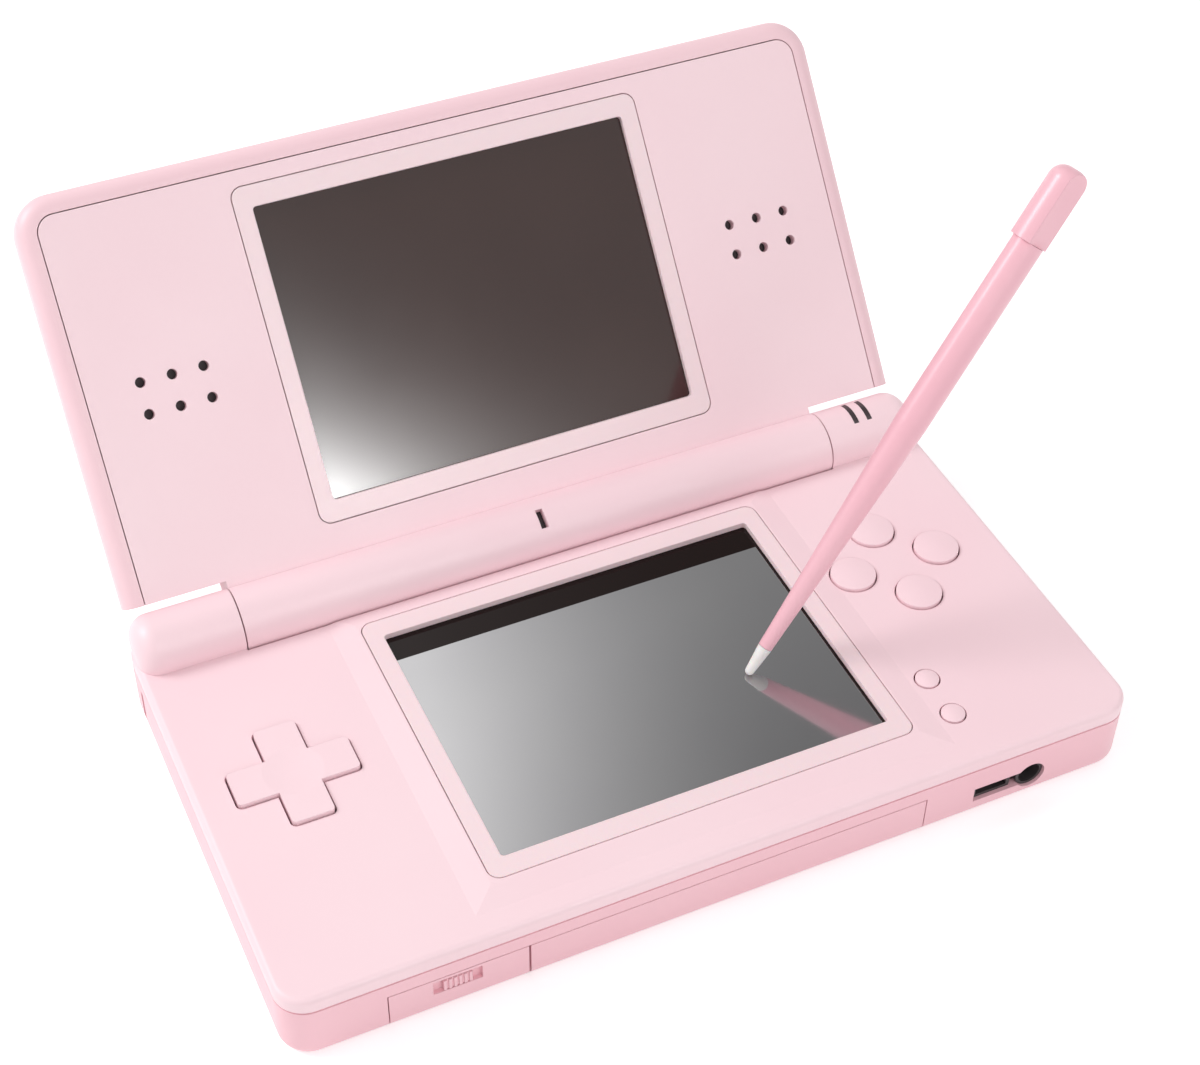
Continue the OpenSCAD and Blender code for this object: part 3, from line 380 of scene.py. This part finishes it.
def gold_plate():
    """Phosphor-bronze springs, stamped and gold plated: warm, bright and slightly brushed along."""

    def sockets(tree):
        return {
            "Base Color": blend_colours(tree, wander(tree, 0.6, 0.0, 1.0), "#D9B25E", "#E6C67A"),
            "Metallic": 1.0,
            "Roughness": wander(tree, 0.3, 0.2, 0.32),
            "Normal": relief(tree, [(0.1, 0.001)], edge=0.04),
        }

    return new_material("gold_plated_contact", sockets)


def backdrop_paper():
    """White seamless paper of the studio, with a trace of tooth. What the camera and the reflections see
    of it is lifted to white; the light that it throws on the object isn't."""
    material, tree = blank_material("seamless_paper")
    tooth = wander(tree, 2, 0.0, 1.0)
    paper = add(
        tree,
        "ShaderNodeBsdfDiffuse",
        {
            "Color": blend_colours(tree, wander(tree, 60, 0.0, 1.0), "#FDFDFD", "#FBFBFB"),
            "Normal": add(tree, "ShaderNodeBump", {"Height": tooth, "Distance": 0.01 * MM}).outputs[0],
        },
    )
    lift = add(tree, "ShaderNodeMath", {0: seen_share(tree), 1: PAPER_LIFT}, operation="MULTIPLY").outputs[0]
    glow = add(tree, "ShaderNodeEmission", {"Strength": lift})
    both = add(tree, "ShaderNodeAddShader", {0: paper.outputs[0], 1: glow.outputs[0]})
    add(tree, "ShaderNodeOutputMaterial", {"Surface": both.outputs[0]})
    return material


def dress_frame():
    """Gives each CAD node the material of its slot, or its own where the slot isn't enough."""
    by_slot = {
        "pink_shell": housing_plastic("pink_abs", "#F7C6CF", "#F6C2CC"),
        # The same pink ABS as the lower shell, painted lighter: a painted sheen on the deck and the lid's
        # inner face
        "light_pink_shell": housing_plastic("pink_abs_painted_sheen", "#FADCE2", "#F9D8DF"),
        "pale_frame": frame_plastic(),
        "dark_glass": dark_lens(),
        "touch_glass": touch_film(),
        "black_plastic": port_plastic(),
        "display_module": display_module(),
        "circuit_board": solder_mask(),
        "battery_wrap": battery_wrap(),
        "steel": plated_steel(),
        "grey_rubber": moulded_rubber(),
        "white_plastic": white_acetal(),
    }
    lamps = lamp_plastic()
    stylus = stylus_plastic()
    own = {
        # The same pink ABS as the lower shell, painted paler and less saturated: partly painted sheen on the
        # lid's outer shell
        "lid_outer_shell": housing_plastic("lid_abs_painted_sheen", "#F7D2D9", "#F5CED6"),
        "power_lamp_window": lamps,
        "charge_lamp_window": lamps,
        "stylus_shaft": stylus,
        "stylus_cap": stylus,
    }
    for part in frame["record"]["subparts"]:
        name = part["node"]
        nodes[name].material_slots[0].material = own.get(name, by_slot[part["material_slot"]])


# ---------------------------------------------------------------- contacts inside the slots


def leaf_springs(name, count, pitch, middle, leaf, rise, material):
    """A row of stamped leaf contacts: each is a strip of the leaf's size that bows up in its middle."""
    mesh = bmesh.new()
    for i in range(count):
        place = Matrix.Translation(middle + Vector(((i - (count - 1) / 2) * pitch, 0, 0)))
        shape = place @ Matrix.Diagonal((leaf.x, leaf.y, 1, 1))
        bmesh.ops.create_grid(mesh, x_segments=1, y_segments=8, size=0.5, matrix=shape)
    for vert in mesh.verts:
        vert.co.z += rise * math.cos(math.pi * (vert.co.y - middle.y) / leaf.y)
    bmesh.ops.solidify(mesh, geom=mesh.faces[:], thickness=leaf.z)
    bmesh.ops.recalc_face_normals(mesh, faces=mesh.faces)
    piece = finished_piece(name, mesh, material)
    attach(piece, "base")
    return piece


def contacts():
    """Gold contacts on the floor of the rear card slot and on the tongue of the charging port."""
    gold = gold_plate()
    low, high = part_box("card_slot_connector")
    leaf_springs(
        "card_contacts",
        count=17,
        pitch=1.8 * MM,
        middle=Vector(((low.x + high.x) / 2, low.y + 5.2 * MM, low.z + 0.25 * MM)),
        leaf=Vector((0.8, 5.5, 0.12)) * MM,
        rise=0.7 * MM,
        material=gold,
    )
    low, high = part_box("charge_port")
    leaf_springs(
        "charge_contacts",
        count=4,
        pitch=1.0 * MM,
        middle=(low + high) / 2 + Vector((0, 0.2, 0.4)) * MM,
        leaf=Vector((0.45, 2.6, 0.06)) * MM,
        rise=0.04 * MM,
        material=gold,
    )


# ---------------------------------------------------------------- stage, light and camera


def staged_sheet(name, side, place, facing, material):
    """A flat square sheet outside the object, which faces along facing."""
    mesh = bmesh.new()
    bmesh.ops.create_grid(mesh, x_segments=1, y_segments=1, size=0.5)
    turn = facing.to_track_quat("Z", "Y").to_matrix().to_4x4()
    size = Matrix.Diagonal((side, side, 1, 1))
    bmesh.ops.transform(mesh, matrix=Matrix.Translation(place) @ turn @ size, verts=mesh.verts)
    sheet = finished_piece(name, mesh, material)
    return sheet


def camera_back():
    """Direction from the target to the camera."""
    flat = math.cos(CAMERA_HEIGHT)
    return Vector((math.sin(CAMERA_TURN) * flat, -math.cos(CAMERA_TURN) * flat, math.sin(CAMERA_HEIGHT)))


def photo_camera():
    """The camera of the photograph: it looks at its target from the fitted angle and distance."""
    lens = bpy.data.cameras.new("photo_camera")
    lens.sensor_width = SENSOR_WIDTH
    lens.lens = FOCAL_PIXELS * SENSOR_WIDTH / IMAGE_WIDTH
    lens.clip_start = 0.01
    camera = bpy.data.objects.new("photo_camera", lens)
    bpy.context.scene.collection.objects.link(camera)
    back = camera_back()
    camera.location = CAMERA_TARGET + back * CAMERA_DISTANCE
    camera.rotation_mode = "QUATERNION"
    camera.rotation_quaternion = back.to_track_quat("Z", "Y") @ Quaternion((0, 0, 1), CAMERA_ROLL)
    bpy.context.scene.camera = camera
    return camera


def soft_lamp(name, place, target, side, power):
    """A square soft box that points at target."""
    data = bpy.data.lights.new(name, "AREA")
    data.size = side
    data.energy = power
    lamp = bpy.data.objects.new(name, data)
    lamp.location = place
    lamp.rotation_mode = "QUATERNION"
    lamp.rotation_quaternion = (place - target).to_track_quat("Z", "Y")
    bpy.context.scene.collection.objects.link(lamp)
    return lamp


def reflected_card(name, point, normal, side, glow):
    """A glowing card that only reflections see: it stands where the camera's view of the point is mirrored
    to. glow is a function that gives its strength from the tree and the offset on the card: the way from
    its middle, in metres, in the object's own directions."""
    sight = (point - (CAMERA_TARGET + camera_back() * CAMERA_DISTANCE)).normalized()
    away = sight - 2 * sight.dot(normal) * normal
    centre = point + away * CARD_DISTANCE
    material, tree = blank_material(name)
    offset = add(tree, "ShaderNodeVectorMath", {0: object_place(tree), 1: centre}, operation="SUBTRACT")
    light = add(tree, "ShaderNodeEmission", {"Strength": glow(tree, offset.outputs[0])})
    add(tree, "ShaderNodeOutputMaterial", {"Surface": light.outputs[0]})
    card = staged_sheet(name, side, centre, -away, material)
    card.visible_camera = False
    card.visible_diffuse = False
    card.visible_shadow = False
    card.visible_transmission = False
    return card


def window_glow(tree, offset):
    """A bright window in a white wall: it fades away from its middle, along the wall and up and down it."""
    window, wall = 34.6, 1.0
    distances = []
    for direction, reach in ((Vector((1, 0, 0)), 0.0292), (LID_UP, 0.0252)):
        along = add(tree, "ShaderNodeVectorMath", {0: offset, 1: direction / reach}, operation="DOT_PRODUCT")
        apart = add(tree, "ShaderNodeMath", {0: along.outputs["Value"]}, operation="ABSOLUTE")
        distances.append(apart.outputs[0])
    total = add(tree, "ShaderNodeMath", {0: distances[0], 1: distances[1]}, operation="ADD").outputs[0]
    fade = add(tree, "ShaderNodeMath", {0: math.exp(-1), 1: total}, operation="POWER").outputs[0]
    return add(tree, "ShaderNodeMath", {0: fade, 1: window, 2: wall}, operation="MULTIPLY_ADD").outputs[0]


def ramp(tree, offset, direction, start, stop, low, high):
    """A value that goes from low to high as the offset along the direction goes from start to stop metres."""
    along = add(tree, "ShaderNodeVectorMath", {0: offset, 1: Vector(direction)}, operation="DOT_PRODUCT")
    spread = {"Value": along.outputs["Value"], "From Min": start, "From Max": stop}
    spread.update({"To Min": low, "To Max": high})
    return add(tree, "ShaderNodeMapRange", spread).outputs[0]


def wall_glow(tree, offset):
    """A wall that is brighter than white at the left, falls off to the right and is dimmer high up."""
    rightward, downward = (0.953, -0.191, -0.234), (-0.228, 0.797, -0.558)
    dim, bright, bend = 0.42, 1.38, 2.1
    leftness = ramp(tree, offset, rightward, 0.079, -0.083, 0.0, 1.0)
    bent = add(tree, "ShaderNodeMath", {0: leftness, 1: bend}, operation="POWER").outputs[0]
    fall = add(tree, "ShaderNodeMapRange", {"Value": bent, "To Min": dim, "To Max": bright}).outputs[0]
    height = ramp(tree, offset, downward, -0.06, 0.015, 0.76, 1.0)
    return add(tree, "ShaderNodeMath", {0: fall, 1: height}, operation="MULTIPLY").outputs[0]


def reflections():
    """What the two screens mirror, as in the photograph: a window in the upper screen's lower left corner,
    and a wall that darkens to the right in the touch screen."""
    low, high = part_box("upper_screen_frame")
    corner = low + Vector((3, 3, 3)) * MM
    reflected_card("window_card", corner, LID_FACING, WINDOW_CARD_SIDE, window_glow)
    low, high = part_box("touch_panel")
    middle = Vector(((low.x + high.x) / 2, (low.y + high.y) / 2, high.z))
    reflected_card("wall_card", middle, Vector((0, 0, 1)), WALL_CARD_SIDE, wall_glow)


def studio():
    """Pale paper under the object, even light all round and two soft boxes."""
    side, just_below = 3.0, Vector((0, 0, -0.02 * MM))
    staged_sheet("paper_floor", side, just_below, Vector((0, 0, 1)), backdrop_paper())
    scene = bpy.context.scene
    scene.world = bpy.data.worlds.new("studio")
    scene.world.use_nodes = True
    tree = scene.world.node_tree
    tree.nodes.clear()
    sky = add(tree, "ShaderNodeBackground", {"Color": (1, 1, 1, 1), "Strength": WORLD_LIGHT})
    seen = add(tree, "ShaderNodeBackground", {"Color": (1, 1, 1, 1), "Strength": 1.0})
    both = add(tree, "ShaderNodeMixShader", {0: seen_share(tree), 1: sky.outputs[0], 2: seen.outputs[0]})
    add(tree, "ShaderNodeOutputWorld", {"Surface": both.outputs[0]})
    middle = Vector((0, 0, 0.02))
    soft_lamp("key_softbox", KEY_PLACE, middle, KEY_SIDE, KEY_POWER)
    soft_lamp("fill_softbox", FILL_PLACE, middle, FILL_SIDE, FILL_POWER)
    scene.view_settings.view_transform = "Standard"


dress_frame()
contacts()
photo_camera()
studio()
reflections()
